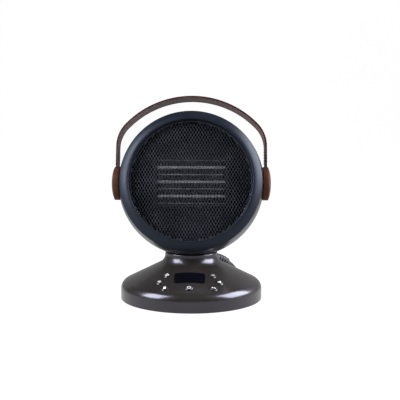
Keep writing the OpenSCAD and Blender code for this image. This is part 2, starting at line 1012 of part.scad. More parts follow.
module handle_strap() color(leather) {
    foot = -11;
    in_head()
        difference() {
            translate([0, 0, -strap_w / 2])
                linear_extrude(height = strap_w)
                    polygon(concat(
                        [[strap_x, foot]],
                        strap_outline(0),
                        [[-strap_x, foot], [strap_t - strap_x, foot]],
                        reversed(strap_outline(strap_t)),
                        [[strap_x - strap_t, foot]]
                    ));
            rotate([0, 90, 0])
                translate([0, 0, -150])
                    cylinder(r = pin_r + 0.05, h = 300);
        }
}

// Round pad over a pivot, slotted for the strap's end
module handle_pad() {
    dome = pad_top_x - pad_rim_x;
    dome_r = ((pad_r - 2) * (pad_r - 2) + dome * dome) / (2 * dome);
    difference() {
        rotate([0, 90, 0])
            rotate_extrude()
                polygon(concat(
                    [[0, pad_x0], [pad_r - 1.2, pad_x0], [pad_r, pad_x0 + 1.2], [pad_r, pad_rim_x]],
                    [for (i = [0:12]) let (r = (pad_r - 0.6) * (1 - i / 12))
                        [r, pad_top_x - dome_r + sqrt(dome_r * dome_r - r * r * 0.97)]]
                ));
        translate([strap_x - strap_t - 0.1, -11.1, -strap_w / 2 - 0.1])
            cube([strap_t + 0.2, 60, strap_w + 0.2]);
        rotate([0, 90, 0])
            translate([0, 0, pad_x0 - 1])
                cylinder(r = pin_r + 0.05, h = 6.8);
    }
}

module handle_pad_left() color(leather) in_head() mirror([1, 0, 0]) handle_pad();
module handle_pad_right() color(leather) in_head() handle_pad();

module handle_pins() color(steel) {
    in_head()
        for (s = [-1, 1])
            rotate([0, s * 90, 0]) {
                translate([0, 0, pivot_boss_x0 - 2])
                    cylinder(r = 7.4, h = 1.8);
                translate([0, 0, pivot_boss_x0 - 1])
                    cylinder(r = pin_r, h = 18);
            }
}

base_cover();
base_bottom();
rubber_feet();
base_screws();
display_window();
display_module();
control_board();
tact_switches();
for (b = BUTTONS)
    push_button(b);
power_board();
power_relays();
tilt_switch();
swing_motor();
swivel_bearing();
thrust_washer();
cord_clamp();
inner_lead();
strain_relief();
power_cord();
cord_coil();
cord_tie();
cord_tail();
plug_body();
plug_blades();
head_shell();
front_bezel();
front_grille();
rear_grille();
dust_filter();
heater_baffle();
baffle_screws();
heater_frame();
heater_bars();
heater_fins();
heater_plates();
heater_terminals();
thermal_cutoffs();
fan_shroud();
motor_bracket();
fan_motor();
pivot_bushes();
swivel_post();
swivel_collar();
swivel_screws();
retaining_ring();
head_gear();
head_wiring();
fan_impeller();
fan_shaft();
swing_pinion();
handle_strap();
handle_pad_left();
handle_pad_right();
handle_pins();
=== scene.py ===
"""Ceramic space heater: a round head with a mesh front on a flared base, drawn around its CAD frame."""
import json
import math

import bmesh
import bpy
from mathutils import Matrix, Vector


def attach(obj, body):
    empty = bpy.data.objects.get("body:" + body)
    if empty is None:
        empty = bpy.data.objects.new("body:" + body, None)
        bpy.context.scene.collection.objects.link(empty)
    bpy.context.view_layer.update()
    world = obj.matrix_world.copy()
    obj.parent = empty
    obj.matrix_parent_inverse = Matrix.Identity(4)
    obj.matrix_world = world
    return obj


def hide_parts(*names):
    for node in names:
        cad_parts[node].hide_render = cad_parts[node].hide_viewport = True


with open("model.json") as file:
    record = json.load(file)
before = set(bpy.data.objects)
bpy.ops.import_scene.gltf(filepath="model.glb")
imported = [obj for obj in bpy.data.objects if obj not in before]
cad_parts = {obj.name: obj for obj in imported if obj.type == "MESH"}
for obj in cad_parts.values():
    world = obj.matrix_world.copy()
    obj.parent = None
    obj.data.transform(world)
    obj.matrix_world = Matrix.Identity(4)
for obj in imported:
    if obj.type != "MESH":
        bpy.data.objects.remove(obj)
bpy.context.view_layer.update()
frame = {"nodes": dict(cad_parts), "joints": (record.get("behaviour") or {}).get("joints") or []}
MM = 0.001
JOINTS = {joint["name"]: joint for joint in frame["joints"]}

# Driving dimensions in millimetres, as the CAD model has them. The head's are from the ball's centre,
# with SEAM_F and GRILLE_Z counted forwards to the bezel's seam and to the mesh's rim.
PIVOT = Vector(JOINTS["fan_spin"]["pos_m"]) / MM
FRONT = Vector(JOINTS["fan_spin"]["axis"]).normalized()
TILT = math.asin(FRONT.z)
BALL_R = 97.0
SEAM_F = 27.0
APERTURE_R = 80.5
DOME_RISE = 6.0
GRILLE_Z = 24.5
BASE_R = 95.0
SIDE_TOP = 14.0
SHOULDER_R = 12.0
SLOPE = math.radians(26.57)
BUTTON_R = 4.9
BUTTON_PROUD = 1.2
CORD_D = 7.0
CORD_R = CORD_D / 2

HEAD = Matrix.Translation(PIVOT) @ Matrix.Rotation(math.radians(90) - TILT, 4, "X")

# The base's straight slope, tangent to its rounded shoulder
SHOULDER = (BASE_R - SHOULDER_R, SIDE_TOP)
NORMAL = (math.sin(SLOPE), math.cos(SLOPE))
SLOPE_C = SHOULDER[0] * NORMAL[0] + SHOULDER[1] * NORMAL[1] + SHOULDER_R


def slope_z(r):
    """Height of the base's slope at r from its axis."""
    return (SLOPE_C - NORMAL[0] * r) / NORMAL[1]


def on_slope(x, y):
    """Frame on the base's slope at x, y: Z out of the surface, X down the slope."""
    turn = math.atan2(y, x)
    place = Matrix.Translation((x, y, slope_z(math.hypot(x, y))))
    return place @ Matrix.Rotation(turn, 4, "Z") @ Matrix.Rotation(SLOPE, 4, "Y")


# ---------------------------------------------------------------- geometry helpers

def make(name, verts, faces, body=None, material=None, place=None, auto=None, slot=None):
    """A mesh object from points in millimetres, riding on a body."""
    mesh = bpy.data.meshes.new(name)
    place = place or Matrix()
    mesh.from_pydata([(place @ Vector(v)) * MM for v in verts], [], faces)
    mesh.validate()
    obj = bpy.data.objects.new(name, mesh)
    bpy.context.scene.collection.objects.link(obj)
    finish_mesh(obj, auto)
    if material:
        mesh.materials.append(material)
    if body:
        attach(obj, body)
    return obj


def finish_mesh(obj, auto=None):
    """Outward normals, smooth shading, and sharp edges above an angle in degrees."""
    bm = bmesh.new()
    bm.from_mesh(obj.data)
    bmesh.ops.recalc_face_normals(bm, faces=bm.faces)
    for face in bm.faces:
        face.smooth = True
    if auto is not None:
        limit = math.radians(auto)
        for edge in bm.edges:
            edge.smooth = not (len(edge.link_faces) == 2 and edge.calc_face_angle(0) > limit)
    bm.to_mesh(obj.data)
    bm.free()


def arc(centre, r, a0, a1, steps=12):
    """Points on an arc, angles in degrees."""
    turn = [math.radians(a0 + (a1 - a0) * i / steps) for i in range(steps + 1)]
    return [(centre[0] + r * math.cos(a), centre[1] + r * math.sin(a)) for a in turn]


def soften(points, r, steps=3):
    """The same closed outline with its corners rounded by about r."""
    out = []
    count = len(points)
    for i, p in enumerate(points):
        p = Vector(p)
        a = Vector(points[i - 1]) - p
        b = Vector(points[(i + 1) % count]) - p
        cut = min(r, a.length * 0.45, b.length * 0.45)
        if cut < 1e-4:
            out.append(tuple(p))
            continue
        a = p + a.normalized() * cut
        b = p + b.normalized() * cut
        for k in range(steps + 1):
            t = k / steps
            out.append(tuple(a * (1 - t) ** 2 + p * (2 * t * (1 - t)) + b * t * t))
    return out


def lathe(profile, steps=128, closed=True):
    """Verts and faces of a profile of (r, z) turned about Z."""
    verts, index = [], []
    for r, z in profile:
        if abs(r) < 1e-6:
            index.append([len(verts)] * steps)
            verts.append((0, 0, z))
            continue
        index.append(list(range(len(verts), len(verts) + steps)))
        for i in range(steps):
            a = math.radians(360 * i / steps)
            verts.append((r * math.cos(a), r * math.sin(a), z))
    faces = []
    count = len(profile)
    for i in range(count if closed else count - 1):
        p, q = index[i], index[(i + 1) % count]
        for k in range(steps):
            n = (k + 1) % steps
            face = list(dict.fromkeys((p[k], p[n], q[n], q[k])))
            if len(face) > 2:
                faces.append(face)
    return verts, faces


def join(*parts):
    """Several (verts, faces) as one."""
    verts, faces = [], []
    for v, f in parts:
        base = len(verts)
        verts += v
        faces += [[base + i for i in face] for face in f]
    return verts, faces


def prism(outline, z0, z1, bevel=0.0, steps=2):
    """Verts and faces of a closed outline of (x, y) from z0 to z1, with the edges of both ends rounded."""
    levels = [(0.0, z0), (0.0, z1)]
    if bevel:
        turn = [math.pi / 2 * i / steps for i in range(steps + 1)]
        low = [(bevel * (1 - math.sin(a)), z0 + bevel * (1 - math.cos(a))) for a in turn]
        high = [(bevel * (1 - math.cos(a)), z1 - bevel * (1 - math.sin(a))) for a in turn]
        levels = low + high
    count = len(outline)
    normals = []
    for i in range(count):
        a = Vector(outline[i]) - Vector(outline[i - 1])
        b = Vector(outline[(i + 1) % count]) - Vector(outline[i])
        n = Vector((a.y, -a.x)).normalized() + Vector((b.y, -b.x)).normalized()
        normals.append(n / max(n.length_squared / 2, 0.5))
    area = sum(outline[i - 1][0] * outline[i][1] - outline[i][0] * outline[i - 1][1] for i in range(count))
    side = 1 if area > 0 else -1
    verts = []
    for inset, z in levels:
        for p, n in zip(outline, normals):
            verts.append((p[0] - side * inset * n.x, p[1] - side * inset * n.y, z))
    faces = []
    for k in range(len(levels) - 1):
        for i in range(count):
            j = (i + 1) % count
            faces.append([k * count + i, k * count + j, (k + 1) * count + j, (k + 1) * count + i])
    faces.append(list(range(count))[::-1])
    faces.append([(len(levels) - 1) * count + i for i in range(count)])
    return verts, faces


def frames_along(points, up=(0, 0, 1)):
    """Tangent, side and normal at each point of a line, turned as little as possible from up."""
    out = []
    normal = Vector(up)
    for i, p in enumerate(points):
        t = (Vector(points[min(i + 1, len(points) - 1)]) - Vector(points[max(i - 1, 0)])).normalized()
        normal = (normal - t * normal.dot(t)).normalized()
        out.append((Vector(p), t, t.cross(normal), normal))
    return out


def sweep(points, section, up=(0, 0, 1), scale=None):
    """A section of (side, normal) carried along points, with closed ends. scale(i) sizes it at point i."""
    verts, faces = [], []
    n = len(section)
    for i, (p, _, side, normal) in enumerate(frames_along(points, up)):
        k = scale(i) if scale else 1
        verts += [tuple(p + side * (s[0] * k) + normal * (s[1] * k)) for s in section]
    for i in range(len(points) - 1):
        for k in range(n):
            m = (k + 1) % n
            faces.append([i * n + k, i * n + m, (i + 1) * n + m, (i + 1) * n + k])
    faces.append(list(range(n))[::-1])
    faces.append([(len(points) - 1) * n + k for k in range(n)])
    return verts, faces


def circle(r, steps=12):
    turn = [2 * math.pi * i / steps for i in range(steps)]
    return [(r * math.cos(a), r * math.sin(a)) for a in turn]


def smooth_line(points, steps):
    """A Catmull-Rom curve through the points."""
    out = []
    pts = [Vector(p) for p in points]
    for i in range(len(pts) - 1):
        p0, p1, p2, p3 = pts[max(i - 1, 0)], pts[i], pts[i + 1], pts[min(i + 2, len(pts) - 1)]
        for k in range(steps):
            t = k / steps
            out.append(0.5 * (2 * p1 + (p2 - p0) * t + (2 * p0 - 5 * p1 + 4 * p2 - p3) * t * t
                              + (3 * p1 - p0 - 3 * p2 + p3) * t ** 3))
    out.append(pts[-1])
    return out


def cut(obj, *cutters):
    """Subtracts the cutters and deletes them."""
    for cutter in cutters:
        modifier = obj.modifiers.new("cut", "BOOLEAN")
        modifier.operation = "DIFFERENCE"
        modifier.solver = "EXACT"
        modifier.object = cutter
    bpy.context.view_layer.update()
    graph = bpy.context.evaluated_depsgraph_get()
    mesh = bpy.data.meshes.new_from_object(obj.evaluated_get(graph))
    obj.modifiers.clear()
    old = obj.data
    obj.data = mesh
    bpy.data.meshes.remove(old)
    for cutter in cutters:
        data = cutter.data
        bpy.data.objects.remove(cutter)
        bpy.data.meshes.remove(data)


# ---------------------------------------------------------------- camera and cord

camera_data = bpy.data.cameras.new("camera")
camera = bpy.data.objects.new("camera", camera_data)
bpy.context.scene.collection.objects.link(camera)
bpy.context.scene.camera = camera
CAMERA_DISTANCE = 0.9
CAMERA_HEIGHT = 0.214
CAMERA_PITCH = math.radians(5.1)
CAMERA_TURN = math.radians(2)
camera.location = Vector((math.sin(CAMERA_TURN), -math.cos(CAMERA_TURN), 0)) * CAMERA_DISTANCE
camera.location.z = CAMERA_HEIGHT
camera.rotation_euler = (math.radians(90) - CAMERA_PITCH, 0, CAMERA_TURN)
camera_data.lens = 60.5
camera_data.shift_x = 0.0218
camera_data.shift_y = -0.0032
camera_data.clip_end = 60

# The cord's route, as the CAD model has it
CORD_ROUTE = [
    (49.8, 63.8, 36.2), (56, 71.8, 29.8), (61.4, 80.5, 22), (64.4, 90, 13.8), (64.2, 100, 7.6),
    (61.6, 110, 4.6), (57.4, 120, 3.8), (52.6, 130, 3.9), (48, 140.6, 4.2), (45, 152, 4.5),
]
TAIL_ROUTE = [
    (-34, 158, 17.6), (-34.4, 150.6, 18.2), (-33, 143.4, 20.2), (-29.8, 136.7, 22.8),
    (-25.1, 131, 25.6), (-19.1, 126.6, 28), (-12.3, 123.8, 29.1),
]
PLUG_AT = (-12.3, 123.8, 29.1)
PLUG_TURN = math.radians(-15)
COIL_CENTRE = Vector((0, 152, 0))
COIL_R = 38.0
COIL_LIFT = 1.0
ROW1_Z = COIL_LIFT + CORD_R
ROW2_Z = ROW1_Z + CORD_D
ROW3_Z = ROW2_Z + CORD_D * math.sin(math.radians(60))
INNER_R, OUTER_R = COIL_R - CORD_D, COIL_R + CORD_D
# Where each turn of the coil lies: (angle counted on from the start, radius, height)
COIL_STATIONS = [
    (0, OUTER_R, ROW1_Z), (300, OUTER_R, ROW1_Z), (360, COIL_R, ROW1_Z), (660, COIL_R, ROW1_Z),
    (720, INNER_R, ROW1_Z), (960, INNER_R, ROW1_Z), (1020, INNER_R, ROW2_Z), (1260, INNER_R, ROW2_Z),
    (1320, COIL_R, ROW2_Z), (1560, COIL_R, ROW2_Z), (1620, OUTER_R, ROW2_Z), (1860, OUTER_R, ROW2_Z),
    (1920, COIL_R + CORD_R, ROW3_Z), (2160, COIL_R + CORD_R, ROW3_Z), (2220, COIL_R - CORD_R, ROW3_Z),
    (2330, COIL_R - CORD_R, ROW3_Z),
]


def coil_point(angle):
    """A point on the coil. Where a turn crosses onto the third row it rolls over the turn below it."""
    for (a0, r0, z0), (a1, r1, z1) in zip(COIL_STATIONS, COIL_STATIONS[1:]):
        if angle <= a1:
            t = (angle - a0) / (a1 - a0)
            break
    t = t * t * (3 - 2 * t)
    r, z = r0 + (r1 - r0) * t, z0 + (z1 - z0) * t
    if z1 > ROW2_Z and r0 != r1:
        start = 0 if z0 == ROW2_Z else 60
        roll = math.radians(start + 60 * t)
        r, z = COIL_R + CORD_D * math.cos(roll), ROW2_Z + CORD_D * math.sin(roll)
    elif z0 == ROW3_Z and 1920 <= angle < 2000:
        z += (CORD_D - (ROW3_Z - ROW2_Z)) * math.sin(math.pi * (angle - 1920) / 80)
    turn = math.radians(angle)
    return COIL_CENTRE + Vector((r * math.cos(turn), r * math.sin(turn), z))


COIL_STEP = 7.5
coil_angles = [COIL_STEP * i for i in range(1, int(COIL_STATIONS[-1][0] / COIL_STEP))]
cord_line = smooth_line(CORD_ROUTE, 4) + [coil_point(a) for a in coil_angles] + smooth_line(TAIL_ROUTE, 4)

# ---------------------------------------------------------------- materials

def shader(name):
    """A new material: (material, node tree, Principled shader)."""
    material = bpy.data.materials.new(name)
    material.use_nodes = True
    return material, material.node_tree, material.node_tree.nodes["Principled BSDF"]


def link(tree, a, b):
    tree.links.new(a, b)


def coordinates(tree, stretch=(1, 1, 1)):
    """Object coordinates, stretched."""
    source = tree.nodes.new("ShaderNodeTexCoord")
    mapping = tree.nodes.new("ShaderNodeMapping")
    mapping.inputs["Scale"].default_value = stretch
    link(tree, source.outputs["Object"], mapping.inputs["Vector"])
    return mapping.outputs["Vector"]


def noise(tree, where, scale, detail=3.0, roughness=0.5):
    node = tree.nodes.new("ShaderNodeTexNoise")
    node.inputs["Scale"].default_value = scale
    node.inputs["Detail"].default_value = detail
    node.inputs["Roughness"].default_value = roughness
    link(tree, where, node.inputs["Vector"])
    return node.outputs["Fac"]


def cells(tree, where, scale):
    node = tree.nodes.new("ShaderNodeTexVoronoi")
    node.inputs["Scale"].default_value = scale
    link(tree, where, node.inputs["Vector"])
    return node.outputs["Distance"]


def ramp(tree, value, stops):
    """Colour ramp from (position, colour) stops; a colour is three numbers."""
    node = tree.nodes.new("ShaderNodeValToRGB")
    elements = node.color_ramp.elements
    while len(elements) < len(stops):
        elements.new(0.5)
    for element, (position, colour) in zip(elements, stops):
        element.position = position
        element.color = (*colour, 1)
    link(tree, value, node.inputs["Fac"])
    return node.outputs["Color"]


def span(tree, value, low, high, from_low=0.3, from_high=0.7):
    """The value mapped from from_low..from_high to low..high."""
    node = tree.nodes.new("ShaderNodeMapRange")
    node.inputs["From Min"].default_value = from_low
    node.inputs["From Max"].default_value = from_high
    node.inputs["To Min"].default_value = low
    node.inputs["To Max"].default_value = high
    link(tree, value, node.inputs["Value"])
    return node.outputs["Result"]


def blend_values(tree, a, b, how="MULTIPLY"):
    node = tree.nodes.new("ShaderNodeMath")
    node.operation = how
    link(tree, a, node.inputs[0])
    if isinstance(b, (int, float)):
        node.inputs[1].default_value = b
    else:
        link(tree, b, node.inputs[1])
    return node.outputs["Value"]


def bump(tree, bsdf, height, strength, distance):
    node = tree.nodes.new("ShaderNodeBump")
    node.inputs["Strength"].default_value = strength
    node.inputs["Distance"].default_value = distance * MM
    link(tree, height, node.inputs["Height"])
    link(tree, node.outputs["Normal"], bsdf.inputs["Normal"])


def surface(name, dark, light, grain=260.0, rough=(0.4, 0.5), metallic=0.0, coat=0.0, coat_rough=0.1,
            bump_mm=0.02, bump_strength=0.3, patch=35.0, specular=0.5, tint=(1, 1, 1),
            stretch=(1, 1, 1), sheen=0.0):
    """A moulded, painted or rolled surface: slow colour patches, a fine grain, and uneven gloss."""
    material, tree, bsdf = shader(name)
    where = coordinates(tree, stretch)
    slow = noise(tree, where, patch, 2.0)
    fine = noise(tree, where, grain * 10, 3.0, 0.6)
    mixed = blend_values(tree, blend_values(tree, slow, fine, "ADD"), 0.5)
    link(tree, ramp(tree, mixed, [(0.38, dark), (0.62, light)]), bsdf.inputs["Base Color"])
    link(tree, span(tree, slow, *rough), bsdf.inputs["Roughness"])
    bump(tree, bsdf, fine, bump_strength, bump_mm)
    bsdf.inputs["Metallic"].default_value = metallic
    bsdf.inputs["Coat Weight"].default_value = coat
    bsdf.inputs["Coat Roughness"].default_value = coat_rough
    bsdf.inputs["Specular IOR Level"].default_value = specular
    bsdf.inputs["Specular Tint"].default_value = (*tint, 1)
    bsdf.inputs["Sheen Weight"].default_value = sheen
    return material


def leather(name, dark, mid, light, rough=(0.5, 0.62), grain_mm=0.09, specular=0.25):
    """Finished leather: pebbled grain, creases, and darker and lighter patches."""
    material, tree, bsdf = shader(name)
    where = coordinates(tree)
    patches = noise(tree, where, 60, 4.0, 0.6)
    pebbles = cells(tree, where, 900)
    creases = noise(tree, where, 420, 5.0, 0.65)
    link(tree, ramp(tree, patches, [(0.3, dark), (0.5, mid), (0.72, light)]), bsdf.inputs["Base Color"])
    link(tree, span(tree, patches, *rough), bsdf.inputs["Roughness"])
    height = blend_values(tree, pebbles, creases, "ADD")
    bump(tree, bsdf, height, 0.35, grain_mm)
    bsdf.inputs["Specular IOR Level"].default_value = specular
    return material


gunmetal = surface("gunmetal_lacquer", (0.01, 0.008, 0.007), (0.015, 0.0125, 0.0115), grain=420,
                   rough=(0.2, 0.23), specular=0.48, tint=(0.8, 0.8, 1), coat=0.12, coat_rough=0.4,
                   bump_mm=0.004, bump_strength=0.12)
button_gloss = surface("button_gloss", (0.012, 0.0095, 0.0085), (0.018, 0.015, 0.0135), grain=420,
                       rough=(0.3, 0.36), tint=(0.8, 0.8, 1), bump_mm=0.003, bump_strength=0.1)
midnight = surface("midnight_satin", (0.004, 0.005, 0.009), (0.006, 0.008, 0.013), rough=(0.4, 0.45),
                   specular=0.2, tint=(0.72, 0.82, 1), bump_mm=0.012, bump_strength=0.2)
mesh_paint = surface("mesh_paint", (0.05, 0.052, 0.066), (0.085, 0.088, 0.108), rough=(0.2, 0.3),
                     metallic=0.6, bump_mm=0.01)
black_zinc = surface("black_zinc", (0.012, 0.012, 0.013), (0.02, 0.02, 0.022), metallic=0.6, bump_mm=0.01)
black_plastic = surface("black_plastic", (0.012, 0.012, 0.013), (0.02, 0.02, 0.022), rough=(0.5, 0.6),
                        bump_mm=0.03)
# Near-black for the heater's baffle and frame: partly their own black, partly painted shade. It is darker
# than black plastic so that the inside of the head behind the mesh reads as shadowed
black_with_painted_shade = surface("black_with_painted_shade", (0.002, 0.002, 0.003), (0.005, 0.005, 0.007), rough=(0.6, 0.7),
                      specular=0.15, bump_mm=0.03)
window_gloss = surface("window_gloss", (0.001, 0.001, 0.002), (0.002, 0.002, 0.004), rough=(0.06, 0.09),
                       specular=0.35, bump_mm=0.001, bump_strength=0.05)
rubber = surface("black_rubber", (0.012, 0.012, 0.013), (0.022, 0.022, 0.023), rough=(0.5, 0.64),
                 bump_mm=0.03, sheen=0.15)
sheath = surface("cord_sheath", (0.011, 0.011, 0.012), (0.019, 0.019, 0.02), rough=(0.38, 0.5),
                 bump_mm=0.015, patch=120)
tie_weave = surface("tie_weave", (0.012, 0.012, 0.013), (0.035, 0.035, 0.038), grain=500, rough=(0.8, 0.9),
                    bump_mm=0.25, bump_strength=0.8, sheen=0.4)
steel = surface("zinc_steel", (0.42, 0.42, 0.43), (0.58, 0.58, 0.6), rough=(0.24, 0.4), metallic=1.0,
                bump_mm=0.006, stretch=(1, 1, 6))
bar_metal = surface("oxidised_bar", (0.3, 0.3, 0.32), (0.5, 0.5, 0.52), rough=(0.46, 0.56), metallic=0.9,
                    stretch=(1, 8, 1))
# Fins darker than bare aluminium: partly painted shade for the inside of the head behind the mesh, with
# random lighter patches
fin_sheet = surface("fin_sheet", (0.12, 0.125, 0.14), (0.4, 0.41, 0.44), rough=(0.3, 0.5), metallic=0.9,
                    patch=260)
brass = surface("brass", (0.55, 0.42, 0.17), (0.72, 0.57, 0.28), rough=(0.2, 0.32), metallic=1.0,
                bump_mm=0.006)
nylon = surface("natural_nylon", (0.66, 0.64, 0.58), (0.78, 0.76, 0.7), rough=(0.42, 0.5))
board = surface("solder_mask", (0.008, 0.06, 0.022), (0.015, 0.1, 0.035), rough=(0.3, 0.4), coat=0.3)
relay_blue = surface("relay_case", (0.01, 0.04, 0.16), (0.02, 0.06, 0.22), rough=(0.3, 0.38), bump_mm=0.01)
foam = surface("filter_foam", (0.01, 0.01, 0.012), (0.06, 0.06, 0.065), grain=90, rough=(0.85, 0.95),
               bump_mm=0.6, bump_strength=0.9)
wire_red = surface("silicone_wire", (0.25, 0.02, 0.015), (0.38, 0.035, 0.025))
icon_white = surface("icon_print", (0.72, 0.72, 0.74), (0.85, 0.85, 0.87), rough=(0.35, 0.45),
                     bump_mm=0.004)
strap_leather = leather("strap_leather", (0.03, 0.013, 0.009), (0.048, 0.021, 0.015), (0.075, 0.035, 0.024))
strap_lining = leather("strap_lining", (0.046, 0.02, 0.019), (0.066, 0.03, 0.028), (0.09, 0.044, 0.042),
                       rough=(0.36, 0.44), grain_mm=0.04, specular=0.4)
strap_edge = leather("strap_edge", (0.012, 0.004, 0.003), (0.02, 0.008, 0.006), (0.03, 0.012, 0.009),
                     grain_mm=0.02, specular=0.06)
pad_leather = leather("pad_leather", (0.037, 0.014, 0.008), (0.055, 0.021, 0.0125), (0.078, 0.031, 0.019),
                      specular=0.1)
thread = surface("stitch_thread", (0.06, 0.035, 0.024), (0.12, 0.075, 0.05), grain=900, rough=(0.6, 0.7),
                 bump_mm=0.05, sheen=0.3)

MATERIAL_NODES = (
    (gunmetal, "base_cover head_shell rear_grille"),
    (midnight, "front_bezel"),
    (mesh_paint, "front_grille"),
    (window_gloss, "display_window"),
    (black_plastic, "base_bottom display_module tact_switches cord_clamp fan_shroud motor_bracket"
                    " swivel_post swivel_collar fan_impeller"),
    (black_with_painted_shade, "heater_baffle heater_frame"),
    (black_zinc, "baffle_screws"),
    (rubber, "rubber_feet inner_lead strain_relief"),
    (sheath, "power_cord cord_coil cord_tail plug_body"),
    (tie_weave, "cord_tie"),
    (steel, "base_screws swing_motor thrust_washer fan_motor swivel_screws retaining_ring fan_shaft"
            " handle_pins"),
    (bar_metal, "heater_bars heater_plates"),
    (fin_sheet, "heater_fins"),
    (brass, "heater_terminals plug_blades"),
    (nylon, "tilt_switch swivel_bearing thermal_cutoffs pivot_bushes head_gear swing_pinion"),
    (board, "control_board power_board"),
    (relay_blue, "power_relays"),
    (foam, "dust_filter"),
    (wire_red, "head_wiring"),
    (strap_leather, "handle_strap"),
    (pad_leather, "handle_pad_left handle_pad_right"),
)
NODE_MATERIALS = {node: material for material, nodes in MATERIAL_NODES for node in nodes.split()}
for node_name, obj in frame["nodes"].items():
    obj.data.materials.clear()
    obj.data.materials.append(NODE_MATERIALS.get(node_name, gunmetal))


# ---------------------------------------------------------------- cord, relief, tie and plug

cord = make("cord", *sweep(cord_line, circle(CORD_R, 16)), body="base", material=sheath, slot="cord_rubber")
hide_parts("power_cord", "cord_coil", "cord_tail")

RELIEF_AZIMUTH = math.radians(52)
RELIEF_CENTRE = (33.2, -40.2)
RELIEF_BEND_R = 90.0
RELIEF_A0, RELIEF_A1 = 87.0, 58.0
RELIEF_RIBS = 7
RELIEF_CORE, RELIEF_RIB = 4.5, 6.0
RIB_TAPER = 0.5
RIB_STEEPNESS = 9


def relief_point(angle):
    """A point on the relief's arc, which leaves the base near its neck and droops outwards."""
    rho = RELIEF_CENTRE[0] + RELIEF_BEND_R * math.cos(math.radians(angle))
    z = RELIEF_CENTRE[1] + RELIEF_BEND_R * math.sin(math.radians(angle))
    return (rho * math.cos(RELIEF_AZIMUTH), rho * math.sin(RELIEF_AZIMUTH), z)


def relief_profile(t):
    """Radius of the relief along its length, from 0 at the cover to 1: rounded ribs that taper outwards."""
    rib = RELIEF_RIB - RIB_TAPER * t
    ripple = math.cos(2 * math.pi * RELIEF_RIBS * t)
    step = 1 / (1 + math.exp(RIB_STEEPNESS * ripple))
    return RELIEF_CORE + (rib - RELIEF_CORE) * step


RELIEF_STEPS = 140
relief_turn = (RELIEF_A1 - RELIEF_A0) / RELIEF_STEPS
relief_line = [relief_point(RELIEF_A0 + relief_turn * i) for i in range(RELIEF_STEPS + 1)]
relief_solid = sweep(relief_line, circle(1.0, 28), scale=lambda i: relief_profile(i / RELIEF_STEPS))
relief = make("strain_relief_sleeve", *relief_solid, body="base", material=rubber, slot="black_rubber")
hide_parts("strain_relief")


def hull_path(circles, r, steps=8):
    """The closed line at distance r round circles' centres, which run counter-clockwise."""
    out = []
    count = len(circles)
    for i, c in enumerate(circles):
        a = Vector(c) - Vector(circles[i - 1])
        b = Vector(circles[(i + 1) % count]) - Vector(c)
        a0, a1 = math.atan2(-a.x, a.y), math.atan2(-b.x, b.y)
        while a1 < a0:
            a1 += 2 * math.pi
        for k in range(steps + 1):
            t = a0 + (a1 - a0) * k / steps
            out.append((c[0] + r * math.cos(t), c[1] + r * math.sin(t)))
    return out


def loop_band(path, width, thick, place, bevel=0.2):
    """A flat band of a width, closed round a path of (x, z), about the local Y axis."""
    count = len(path)
    section = soften([(-width / 2, 0), (width / 2, 0), (width / 2, thick), (-width / 2, thick)], bevel, 2)
    verts, faces = [], []
    for i, p in enumerate(path):
        d = Vector(path[(i + 1) % count]) - Vector(path[i - 1])
        n = Vector((d.y, -d.x)).normalized()
        for s, h in section:
            q = (p[0] + n.x * h, s, p[1] + n.y * h)
            verts.append(tuple(place @ Vector(q)))
    m = len(section)
    for i in range(count):
        j = (i + 1) % count
        for k in range(m):
            n = (k + 1) % m
            faces.append([i * m + k, i * m + n, j * m + n, j * m + k])
    return verts, faces


TIE_W, TIE_T = 8.0, 0.9
tie_place = Matrix.Translation(COIL_CENTRE) @ Matrix.Rotation(math.radians(90), 4, "Z")
tie_circles = [(INNER_R, ROW1_Z), (OUTER_R, ROW1_Z), (OUTER_R, ROW2_Z), (COIL_R + CORD_R, ROW3_Z),
               (COIL_R - CORD_R, ROW3_Z), (INNER_R, ROW2_Z)]
tie_path = hull_path(tie_circles, CORD_R + 0.05)
tie = make("tie", *loop_band(tie_path, TIE_W, TIE_T, tie_place), body="base", material=tie_weave,
           slot="tie_fabric")
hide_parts("cord_tie")

PLUG = Matrix.Translation(PLUG_AT) @ Matrix.Rotation(PLUG_TURN, 4, "Z")


def rounded_ring(x, half_w, half_h, power, steps=40):
    """A rounded rectangle across X: power 2 is an ellipse, more is squarer."""
    ring = []
    for i in range(steps):
        t = 2 * math.pi * i / steps
        c, s = math.cos(t), math.sin(t)
        y, z = abs(c) ** (2 / power) * half_w, abs(s) ** (2 / power) * half_h
        ring.append((x, math.copysign(y, c), math.copysign(z, s)))
    return ring


def loft(rings):
    """Verts and faces of a solid through rings of as many points each, with closed ends."""
    n = len(rings[0])
    verts = [v for ring in rings for v in ring]
    faces = []
    for i in range(len(rings) - 1):
        for k in range(n):
            m = (k + 1) % n
            faces.append([i * n + k, i * n + m, (i + 1) * n + m, (i + 1) * n + k])
    faces.append(list(range(n))[::-1])
    faces.append([(len(rings) - 1) * n + k for k in range(n)])
    return verts, faces


# The plug's cross-sections from the cord to its face: a ribbed neck, then the grip
PLUG_RIBS, PLUG_RIB_PITCH = 4, 2.3
PLUG_GRIP = [
    (10.2, 5.4, 5.0, 2.2), (12, 7.2, 5.8, 2.6), (15, 9.4, 6.8, 3.2), (19, 10.9, 7.5, 4),
    (23, 11.2, 7.4, 4.5), (28, 11.1, 7.3, 4.5), (33, 11.4, 7.8, 5), (36, 11.45, 7.95, 5.5),
    (36.8, 11.1, 7.6, 5), (37, 10.5, 7.0, 5),
]
plug_sections = [(0, 3.9, 3.9, 2), (0.3, 4.4, 4.4, 2)]
for rib in range(PLUG_RIBS):
    x = 0.6 + PLUG_RIB_PITCH * rib
    plug_sections += [(x + dx, r, r, 2) for dx, r in ((0, 4.9), (1.2, 5.0), (1.5, 4.3), (2.0, 4.3))]
plug_rings = [rounded_ring(*section) for section in plug_sections + PLUG_GRIP]
plug = make("plug", *loft(plug_rings), body="base", material=sheath, place=PLUG, auto=50,
            slot="cord_rubber")
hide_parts("plug_body")

